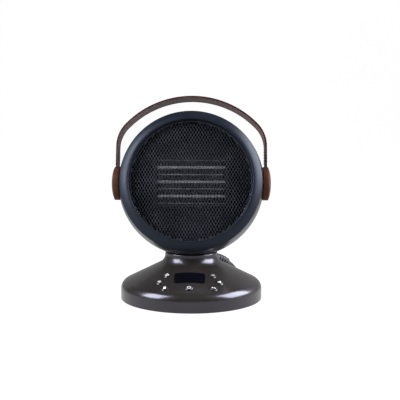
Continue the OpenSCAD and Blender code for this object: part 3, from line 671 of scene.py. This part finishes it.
BLADE_W, BLADE_T, BLADE_GAP = 6.4, 1.6, 12.7
BLADE_X, BLADE_TIP = 36.5, 52.9
BLADE_HOLE_R = 1.6


def plug_blade(side):
    """One flat blade with a tapered tip and the round hole near it."""
    half = BLADE_W / 2
    outline = [(BLADE_X, -half), (BLADE_TIP - 2, -half), (BLADE_TIP, 1.6 - half), (BLADE_TIP, half - 1.6),
               (BLADE_TIP - 2, half), (BLADE_X, half)]
    part = prism(soften(outline, 0.6, 3), -BLADE_T / 2, BLADE_T / 2, 0.25)
    name = "plug_blade_left" if side < 0 else "plug_blade_right"
    place = PLUG @ Matrix.Translation((0, side * BLADE_GAP / 2, 0))
    place = place @ Matrix.Rotation(math.radians(90), 4, "X")
    blade = make(name, *part, material=brass, place=place, auto=40)
    drill = lathe([(0, -3), (BLADE_HOLE_R, -3), (BLADE_HOLE_R, 3), (0, 3)], 24, closed=False)
    cut(blade, make("hole", *drill, place=place @ Matrix.Translation((BLADE_TIP - 4.6, 0, 0))))
    finish_mesh(blade, 40)
    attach(blade, "base")
    return blade


blades = [plug_blade(-1), plug_blade(1)]
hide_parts("plug_blades")


# ---------------------------------------------------------------- front grille

# The mesh is a lattice of diamonds, PITCH wide, in rows that are offset by half a pitch
PITCH = 4.1
ROW = PITCH * math.sqrt(3) / 2
SHEET_T = 0.9
GRILLE_R = 80.2
DOME_R = (GRILLE_R ** 2 + DOME_RISE ** 2) / (2 * DOME_RISE)
RIM_DEPTH = 2.6
RIM_T = 1.0
# No hole is centred past LAST_HOLE_R or reaches past HOLE_LIMIT
LAST_HOLE_R = 79.0
HOLE_LIMIT = GRILLE_R - 0.7
# A hole's rings: (its size as a share of the diamond, depth under the sheet's face)
HOLE_RINGS = ((0.95, 0.0), (0.89, 0.14), (0.84, 0.45), (0.84, SHEET_T))
# A hole's corners: how far each is drawn in, and where on each side the drawing in ends
SIDE_PULL, TOP_PULL = 0.95, 0.86
NEAR_CORNER = 0.14


def diamond():
    """One diamond of the lattice: (x, y, pull) round its outline, where pull draws a hole's corner in."""
    half = PITCH / 2
    corners = [(half, 0, SIDE_PULL), (0, ROW, TOP_PULL), (-half, 0, SIDE_PULL), (0, -ROW, TOP_PULL)]
    line = []
    for (x0, y0, pull), (x1, y1, _) in zip(corners, corners[1:] + corners[:1]):
        line.append((x0, y0, pull))
        for t in (NEAR_CORNER, 1 - NEAR_CORNER):
            line.append((x0 + (x1 - x0) * t, y0 + (y1 - y0) * t, 1))
    return line


DIAMOND = diamond()
SIDES = len(DIAMOND)


def dome_z(r):
    """Height of the mesh's domed face at r from the head's axis."""
    return GRILLE_Z + DOME_RISE - DOME_R + math.sqrt(DOME_R ** 2 - min(r, GRILLE_R) ** 2)


def perforated_sheet():
    """A domed mesh of diamond holes with rounded webs, and its turned-back rim."""
    verts, faces, seen = [], [], {}

    def point(x, y, drop, limit=GRILLE_R):
        inside = min(1, limit / max(math.hypot(x, y), 0.001))
        x, y = x * inside, y * inside
        key = (round(x, 3), round(y, 3), drop)
        if key not in seen:
            seen[key] = len(verts)
            verts.append((x, y, dome_z(math.hypot(x, y)) - drop))
        return seen[key]

    def face(*corners):
        corners = list(dict.fromkeys(corners))
        if len(corners) > 2:
            faces.append(corners)

    rows = int(GRILLE_R / ROW) + 2
    columns = int(GRILLE_R / PITCH) + 2
    for row in range(-rows, rows + 1):
        for column in range(-columns, columns + 1):
            cx, cy = (column + 0.5 * (row % 2)) * PITCH, row * ROW
            cell = [(cx + x, cy + y) for x, y, _ in DIAMOND]
            if all(math.hypot(*p) > GRILLE_R for p in cell):
                continue
            front = [point(x, y, 0.0) for x, y in cell]
            back = [point(x, y, SHEET_T) for x, y in cell]
            if math.hypot(cx, cy) > LAST_HOLE_R:
                face(*front)
                face(*back)
                continue
            rings = [front]
            for scale, drop in HOLE_RINGS:
                ring = [(cx + x * scale * pull, cy + y * scale * pull) for x, y, pull in DIAMOND]
                rings.append([point(x, y, drop, HOLE_LIMIT) for x, y in ring])
            rings.append(back)
            for one, two in zip(rings, rings[1:]):
                for k in range(SIDES):
                    n = (k + 1) % SIDES
                    face(one[k], one[n], two[n], two[k])
    rim_foot = GRILLE_Z - RIM_DEPTH
    sheet_back = GRILLE_Z - SHEET_T
    rim = lathe([(GRILLE_R, GRILLE_Z), (GRILLE_R, rim_foot), (GRILLE_R - RIM_T, rim_foot),
                 (GRILLE_R - RIM_T, sheet_back - 0.1), (GRILLE_R - 0.6, sheet_back + 0.1)], 180)
    return join((verts, faces), rim)


grille = make("perforated_grille", *perforated_sheet(), body="head", material=mesh_paint, place=HEAD,
              auto=35, slot="dark_mesh")
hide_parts("front_grille")


# ---------------------------------------------------------------- bezel

BEZEL_GAP = 0.15
BEZEL_RISE = 6.4
BEZEL_CURVE = 1.6
BEZEL_STEPS = 20
LIP_W = 1.1
HOOK_W, HOOK_DEPTH = 3.6, 3.0


def bezel_profile():
    """(r, z): a long curve, facing outwards at the seam and forwards at the opening, and a hook inside."""
    rim_r = math.sqrt(BALL_R ** 2 - SEAM_F ** 2) - BEZEL_GAP
    crest_r = APERTURE_R + LIP_W
    face = []
    for k in range(BEZEL_STEPS + 1):
        inward = k / BEZEL_STEPS
        rise = BEZEL_RISE * (1 - (1 - inward) ** BEZEL_CURVE)
        face.append((rim_r + (crest_r - rim_r) * inward, SEAM_F + 0.5 + rise))
    lip = [(crest_r - 0.6, SEAM_F + 6.72), (APERTURE_R + 0.15, SEAM_F + 6.2), (APERTURE_R, SEAM_F + 5.4)]
    lip += [(APERTURE_R, GRILLE_Z - 3), (APERTURE_R + 2, GRILLE_Z - 3), (APERTURE_R + 2, SEAM_F - 1)]
    hook = [(rim_r - HOOK_W, SEAM_F - 1), (rim_r - HOOK_W, SEAM_F - HOOK_DEPTH)]
    hook += [(rim_r - 2.9, SEAM_F - HOOK_DEPTH), (rim_r - 2.9, SEAM_F + 0.2), (rim_r - 0.25, SEAM_F + 0.2)]
    return face + lip + hook


bezel = make("bezel_ring", *lathe(bezel_profile(), 256), body="head", material=midnight, place=HEAD,
             auto=40, slot="midnight_satin")
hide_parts("front_bezel")


# ---------------------------------------------------------------- strap handle

STRAP_X = 101.0
STRAP_W = 22.0
STRAP_FOOT = -11.0
SIDE_R, TOP_R = 45.0, 122.0
TOP_CENTRE = (0.0, -3.1)
BEND = math.acos((STRAP_X - SIDE_R) / (TOP_R - SIDE_R))
SIDE_CENTRE = (STRAP_X - SIDE_R, TOP_CENTRE[1] + (TOP_R - SIDE_R) * math.sin(BEND))
LEATHER_T = 2.0
LINING_T = 0.95
EDGE_ROUND = 0.5
CROWN = 0.25


def strap_path():
    """Outer face of the strap from the right foot to the left: (point, outward normal)."""
    right = [((STRAP_X, STRAP_FOOT + (SIDE_CENTRE[1] - STRAP_FOOT) * i / 12), (1, 0)) for i in range(12)]
    bends = ((SIDE_CENTRE, SIDE_R, 0, BEND, 20), (TOP_CENTRE, TOP_R, BEND, math.pi / 2, 24))
    for centre, r, a0, a1, steps in bends:
        for i in range(steps):
            a = a0 + (a1 - a0) * i / steps
            normal = (math.cos(a), math.sin(a))
            right.append(((centre[0] + r * normal[0], centre[1] + r * normal[1]), normal))
    left = [((-p[0], p[1]), (-n[0], n[1])) for p, n in reversed(right)]
    return right + [((0, TOP_CENTRE[1] + TOP_R), (0, 1))] + left


STRAP = strap_path()


def strap_layer(half_w, top, bottom, crown):
    """One layer of the strap, between two depths under the outer face."""
    outline = soften([(-half_w, bottom), (half_w, bottom), (half_w, top), (-half_w, top)], EDGE_ROUND, 3)
    levels = []
    for w, h in outline:
        if h > (top + bottom) / 2:
            h -= crown * (w / half_w) ** 2
        levels.append((w, h))
    filled = []
    for i, a in enumerate(levels):
        b = levels[(i + 1) % len(levels)]
        filled.append(a)
        if abs(b[0] - a[0]) > half_w:
            for k in range(1, 8):
                w = a[0] + (b[0] - a[0]) * k / 8
                h = a[1] if a[1] < (top + bottom) / 2 else top - crown * (w / half_w) ** 2
                filled.append((w, h))
    verts, faces = [], []
    m = len(filled)
    for p, n in STRAP:
        verts += [(p[0] + n[0] * h, p[1] + n[1] * h, w) for w, h in filled]
    for i in range(len(STRAP) - 1):
        for k in range(m):
            n = (k + 1) % m
            faces.append([i * m + k, i * m + n, (i + 1) * m + n, (i + 1) * m + k])
    faces += [list(range(m)), [(len(STRAP) - 1) * m + k for k in range(m)][::-1]]
    return verts, faces


def burnish(obj, place, half_w, margin):
    """Gives the faces on the strap's two long edges the object's second material."""
    back = place.inverted()
    for polygon in obj.data.polygons:
        if abs((back @ (polygon.center / MM)).z) > half_w - margin:
            polygon.material_index = 1


STRAP_HALF = STRAP_W / 2
LINING_BACK = -LEATHER_T - LINING_T
EDGE_BAND = 0.3
strap = make("strap_outer", *strap_layer(STRAP_HALF, 0.0, -LEATHER_T, CROWN), body="handle",
             material=strap_leather, place=HEAD, auto=60, slot="brown_leather")
strap.data.materials.append(strap_edge)
burnish(strap, HEAD, STRAP_HALF, EDGE_BAND)
make("strap_lining", *strap_layer(STRAP_HALF - EDGE_BAND, -LEATHER_T, LINING_BACK, 0.0), body="handle",
     material=strap_lining, place=HEAD, auto=60, slot="brown_leather")
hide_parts("handle_strap")

STITCH_STEP = 4.0
STITCH_L = 2.9
STITCH_R = 0.26
STITCH_INSET = 2.0
STITCH_FROM = 25


def stitch(centre, along, out, length=STITCH_L):
    """One stitch: a thread that rises out of the leather and goes back in."""
    line = []
    for i in range(7):
        t = i / 6
        rise = STITCH_R * (1.5 * math.sin(math.pi * t) - 0.75)
        line.append(Vector(centre) + Vector(along) * (length * (t - 0.5)) + Vector(out) * rise)
    return sweep(line, circle(STITCH_R, 6), up=out)


def strap_stitches(depth, w):
    """A row of stitches on the strap above STITCH_FROM. Depth is from its outer face, negative inwards."""
    parts, spent = [], 0.0
    for (p, n), (q, _) in zip(STRAP, STRAP[1:]):
        a, b = Vector((*p, 0)), Vector((*q, 0))
        step = (b - a).length
        while spent < step:
            at = a.lerp(b, spent / step)
            if at.y > STITCH_FROM:
                out = Vector((*n, 0)) * (1 if depth > -1 else -1)
                centre = at + Vector((*n, 0)) * depth + Vector((0, 0, w))
                parts.append(stitch(centre, (b - a).normalized(), out))
            spent += STITCH_STEP
        spent -= step
    return join(*parts)


EDGE_DROP = CROWN * ((STRAP_HALF - STITCH_INSET) / STRAP_HALF) ** 2
for side in (-1, 1):
    where = side * (STRAP_HALF - STITCH_INSET)
    rows = join(strap_stitches(-EDGE_DROP, where), strap_stitches(LINING_BACK, where))
    make("strap_stitching_front" if side > 0 else "strap_stitching_back", *rows, body="handle",
         material=thread, place=HEAD, slot="brown_leather")

PAD_R = 22.3
PAD_X0, PAD_RIM_X, PAD_TOP_X = 97.5, 102.3, 106.0
PAD_FLATNESS = 2.8
# The pad clears the ball by PAD_GAP, and inside BOSS_CLEAR it clears the pivot's boss
PAD_GAP = 0.6
BOSS_CLEAR = 11.6
PAD_STITCH_R = 18.4
PAD_STITCH_L = 2.7
PAD_STITCHES = 30
GROOVE_DEPTH, GROOVE_W = 0.22, 0.75
RING_STEP = 0.45
SLOT_X, SLOT_T, SLOT_TOP, SLOT_END = 97.85, 3.3, 11.2, 60
MIRROR = Matrix.Scale(-1, 4, (1, 0, 0))


def pad_face(r):
    """Height of the pad's domed face at r, with a shallow groove under the stitches."""
    groove = GROOVE_DEPTH * math.exp(-((r - PAD_STITCH_R) / GROOVE_W) ** 2)
    return PAD_TOP_X - (PAD_TOP_X - PAD_RIM_X) * (r / PAD_R) ** PAD_FLATNESS - groove


def pad_back(r):
    """Height of the pad's hollow inner side at r, which follows the ball."""
    return math.sqrt(BALL_R ** 2 - r * r) + PAD_GAP


def pad_profile():
    """(r, height) from the middle of the pad's inner side, round its rim, to the middle of its face."""
    face_r = [PAD_R - 0.9 - RING_STEP * i for i in range(int((PAD_R - 0.9) / RING_STEP) + 1)]
    rim = pad_face(face_r[0])
    profile = [(0, PAD_X0), (BOSS_CLEAR, PAD_X0)] + [(r, pad_back(r)) for r in (12, 15, 18, 20, 21.6)]
    profile += [(PAD_R - 0.2, pad_back(PAD_R) + 0.2), (PAD_R, pad_back(PAD_R) + 0.7)]
    profile += [(PAD_R, rim - 1.1), (PAD_R - 0.1, rim - 0.55), (PAD_R - 0.4, rim - 0.15)]
    return profile + [(r, pad_face(r)) for r in face_r] + [(0, PAD_TOP_X)]


def pad(side):
    """One round pad, slotted for the strap's end, and its ring of stitches."""
    name = "pad_right" if side > 0 else "pad_left"
    hand = HEAD if side > 0 else HEAD @ MIRROR
    turn = hand @ Matrix.Rotation(math.radians(90), 4, "Y")
    disc = make(name, *lathe(pad_profile(), 96, closed=False), material=pad_leather, place=turn, auto=50)
    half = STRAP_HALF + 0.15
    outline = [(-half, -SLOT_END), (half, -SLOT_END), (half, SLOT_TOP), (-half, SLOT_TOP)]
    slot_place = hand @ Matrix(((0, 0, 1, 0), (0, -1, 0, 0), (1, 0, 0, 0), (0, 0, 0, 1)))
    cut(disc, make("slot", *prism(outline, SLOT_X, SLOT_X + SLOT_T), place=slot_place))
    finish_mesh(disc, 45)
    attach(disc, "handle")
    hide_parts("handle_pad_right" if side > 0 else "handle_pad_left")
    parts = []
    for i in range(PAD_STITCHES):
        a = 2 * math.pi * i / PAD_STITCHES
        c, s = math.cos(a), math.sin(a)
        centre = (PAD_STITCH_R * c, PAD_STITCH_R * s, pad_face(PAD_STITCH_R))
        parts.append(stitch(centre, (-s, c, 0), (0, 0, 1), PAD_STITCH_L))
    make(name + "_stitching", *join(*parts), body="handle", material=thread, place=turn,
         slot="brown_leather")


pad(-1)
pad(1)


# ---------------------------------------------------------------- buttons

BUTTONS = {
    "power": (0, -79), "timer": (-29, -51.5), "heat": (-38, -62), "lock": (-30.5, -76),
    "mode": (29, -51.5), "fan": (38, -62), "swing": (30.5, -76),
}
FACE_R = BUTTON_R - 0.65
FACE_RISE = 0.06
STROKE = 0.5
SIGN_SIZE = 1.32
SIGN_RISE, SIGN_DEPTH = 0.035, 0.06


def wave(x):
    """A wavy upright line, one full wave long."""
    return [(x + 0.3 * math.sin(math.pi * k / 4), -1.5 + 1.5 * k / 4) for k in range(9)]


def petal(turn):
    """One rounded blade of a fan, leaning one way."""
    c, s = math.cos(math.radians(turn)), math.sin(math.radians(turn))
    blade = [(0, 0.3), (0.45, 0.75), (0.95, 1.15), (0.9, 1.65), (0.3, 1.95), (-0.25, 1.7), (-0.3, 1.0)]
    return [(c * x - s * y, s * x + c * y) for x, y in soften(blade, 0.4, 2)]


def arrow_head(x, y, turn):
    """A small triangle whose point leads at the angle turn."""
    c, s = math.cos(math.radians(turn)), math.sin(math.radians(turn))
    return [(x + c * u - s * v, y + s * u + c * v) for u, v in ((0.85, 0), (-0.3, 0.62), (-0.3, -0.62))]


# Each icon is (lines, filled outlines), with v up
ICONS = {
    "power": ([arc((0, -0.1), 1.6, 125, 415, 20), [(0, 0.35), (0, 1.95)]], []),
    "timer": ([arc((0, -0.2), 1.6, 0, 360, 24), [(0, 0.8), (0, -0.2), (0.75, -0.2)],
               [(-0.45, 2.0), (0.45, 2.0)]], []),
    "heat": ([wave(-1.15), wave(0), wave(1.15)], []),
    "lock": ([[(-0.85, 0.1), (-0.85, 0.7)] + arc((0, 0.75), 0.85, 180, 0, 10) + [(0.85, 0.1)]],
             [[(-1.3, -1.6), (1.3, -1.6), (1.3, 0.2), (-1.3, 0.2)]]),
    "mode": ([[(-1.2, -1.4), (-1.2, -0.4)], [(0, -1.4), (0, 0.5)], [(1.2, -1.4), (1.2, 1.4)]], []),
    "fan": ([arc((0, 0), 0.2, 0, 360, 10)], [petal(0), petal(120), petal(240)]),
    "swing": ([arc((0, -0.9), 1.7, 40, 140, 14)], [arrow_head(1.4, 0.1, -52), arrow_head(-1.4, 0.1, 232)]),
}


def face_height(x, y):
    """Height of a button's crowned face over the slope."""
    return BUTTON_PROUD + FACE_RISE * (1 - (x * x + y * y) / FACE_R ** 2)


def push_button(name, at):
    """The glossy crowned face of a button and the white sign let into it."""
    turn = math.atan2(at[1], at[0])
    place = on_slope(*at)
    crown = [(FACE_R * k / 6, face_height(FACE_R * k / 6, 0)) for k in range(6)]
    crown += [(FACE_R - 0.05, BUTTON_PROUD + 0.03), (FACE_R, BUTTON_PROUD - 0.02)]
    crown += [(FACE_R, BUTTON_PROUD - 0.3), (0, BUTTON_PROUD - 0.3)]
    make(name + "_face", *lathe(crown, 48, closed=False), body=name, material=button_gloss, place=place,
         slot="gunmetal_gloss")
    lines, fills = ICONS[name.replace("button_", "")]
    half = STROKE / 2
    stroke = [(-half, -SIGN_DEPTH), (half, -SIGN_DEPTH), (half, SIGN_RISE), (-half, SIGN_RISE)]
    parts = []
    for line in lines:
        flat = [(-v * SIGN_SIZE, u * SIGN_SIZE) for u, v in line]
        parts.append(sweep([(x, y, face_height(x, y)) for x, y in flat], stroke))
    for outline in fills:
        verts, faces = prism([(-v * SIGN_SIZE, u * SIGN_SIZE) for u, v in outline], 0, 1)
        raised = []
        for x, y, z in verts:
            raised.append((x, y, face_height(x, y) + (SIGN_RISE if z > 0.5 else -SIGN_DEPTH)))
        parts.append((raised, faces))
    upright = Matrix.Rotation(-(turn + math.pi / 2), 4, "Z")
    make(name + "_sign", *join(*parts), body=name, material=icon_white, place=place @ upright, auto=30,
         slot="white_nylon")


for button_name, button_at in BUTTONS.items():
    push_button("button_" + button_name, button_at)


# ---------------------------------------------------------------- stage, light and view

# The floor's glow as the camera sees it, and in reflections in front of and behind the object
FLOOR_WHITE, FLOOR_FRONT, FLOOR_BACK = 0.97, 0.88, 0.34
FLOOR_FADE = (-0.15, 0.35)
FLOOR_HALF, FLOOR_NEAR, FLOOR_FAR, FLOOR_BEND, FLOOR_TOP = 5000, -4000, 2500, 1500, 3000
# The room's glow in reflections: everywhere, then to the sides and behind, less at the left and high up
ROOM_GLOW, SIDE_GLOW, BACK_GLOW = 0.04, 0.35, 0.4
LEFT_SHARE, HIGH_SHARE = 0.3, 0.2
ROOM_COLOUR = (0.87, 0.89, 1, 1)
SOFTBOX_COLOUR = (0.93, 0.95, 1.0)
SOFTBOX_DISTANCE = 0.95
SOFTBOX_AIM = Vector((0, 0, 0.12))


def stage_floor():
    """A pale studio sweep: a floor that curves up into a wall far behind. It is darker behind the object in
    reflections, so that the lacquer's edges stay dark."""
    line = [(FLOOR_NEAR, 0.0), (0, 0.0)] + arc((FLOOR_FAR, FLOOR_BEND), FLOOR_BEND, -90, 0, 15)
    line.append((FLOOR_FAR + FLOOR_BEND, FLOOR_TOP))
    verts = [(x, y, z) for y, z in line for x in (-FLOOR_HALF, FLOOR_HALF)]
    faces = [[2 * i, 2 * i + 1, 2 * i + 3, 2 * i + 2] for i in range(len(line) - 1)]
    material, tree, bsdf = shader("studio_floor")
    where = coordinates(tree)
    link(tree, ramp(tree, noise(tree, where, 3), [(0.3, (0.1, 0.1, 0.1)), (0.7, (0.11, 0.11, 0.11))]),
         bsdf.inputs["Base Color"])
    bsdf.inputs["Roughness"].default_value = 0.9
    bsdf.inputs["Specular IOR Level"].default_value = 0.1
    bsdf.inputs["Emission Color"].default_value = (1, 1, 1, 1)
    split = tree.nodes.new("ShaderNodeSeparateXYZ")
    link(tree, where, split.inputs["Vector"])
    path = tree.nodes.new("ShaderNodeLightPath")
    seen = blend_values(tree, path.outputs["Is Camera Ray"], FLOOR_WHITE)
    lit = span(tree, split.outputs["Y"], FLOOR_FRONT, FLOOR_BACK, *FLOOR_FADE)
    link(tree, blend_values(tree, seen, lit, "MAXIMUM"), bsdf.inputs["Emission Strength"])
    floor = make("floor", verts, faces, material=material)


def softbox(name, azimuth, lift, width, height, glow):
    """A rectangular light at an azimuth from the front, positive to the right; glow is its radiance."""
    turn = math.radians(azimuth)
    at = Vector((SOFTBOX_DISTANCE * math.sin(turn), -SOFTBOX_DISTANCE * math.cos(turn), lift))
    data = bpy.data.lights.new(name, "AREA")
    data.shape = "RECTANGLE"
    data.size, data.size_y = width, height
    data.color = SOFTBOX_COLOUR
    data.energy = glow * math.pi * width * height
    light = bpy.data.objects.new(name, data)
    light.location = at
    light.rotation_euler = (SOFTBOX_AIM - at).to_track_quat("-Z", "Y").to_euler()
    bpy.context.scene.collection.objects.link(light)


def studio_world():
    """White behind the object; for its reflections a dim room, lighter to the sides and behind."""
    world = bpy.data.worlds.new("studio")
    world.use_nodes = True
    bpy.context.scene.world = world
    tree = world.node_tree
    tree.nodes.clear()
    out = tree.nodes.new("ShaderNodeOutputWorld")
    mix = tree.nodes.new("ShaderNodeMixShader")
    path = tree.nodes.new("ShaderNodeLightPath")
    room, white = tree.nodes.new("ShaderNodeBackground"), tree.nodes.new("ShaderNodeBackground")
    white.inputs["Color"].default_value = (1, 1, 1, 1)
    source = tree.nodes.new("ShaderNodeTexCoord")
    split = tree.nodes.new("ShaderNodeSeparateXYZ")
    link(tree, source.outputs["Generated"], split.inputs["Vector"])
    x, y, z = (split.outputs[axis] for axis in "XYZ")
    side = span(tree, blend_values(tree, x, x), 0, SIDE_GLOW, 0.3, 0.9)
    behind = span(tree, y, 0, BACK_GLOW, 0.1, 0.8)
    lean = span(tree, x, LEFT_SHARE, 1, -0.3, 0.2)
    low = span(tree, z, 1, HIGH_SHARE, 0.38, 0.95)
    glow = blend_values(tree, blend_values(tree, blend_values(tree, side, behind, "ADD"), low), lean)
    glow = blend_values(tree, glow, ROOM_GLOW, "ADD")
    link(tree, glow, room.inputs["Strength"])
    room.inputs["Color"].default_value = ROOM_COLOUR
    link(tree, path.outputs["Is Camera Ray"], mix.inputs["Fac"])
    link(tree, room.outputs["Background"], mix.inputs[1])
    link(tree, white.outputs["Background"], mix.inputs[2])
    link(tree, mix.outputs["Shader"], out.inputs["Surface"])


stage_floor()
softbox("softbox_left", azimuth=-65, lift=0.66, width=0.6, height=0.8, glow=20)
softbox("softbox_right", azimuth=85, lift=0.66, width=0.9, height=0.8, glow=19)
studio_world()
bpy.context.scene.view_settings.view_transform = "Standard"
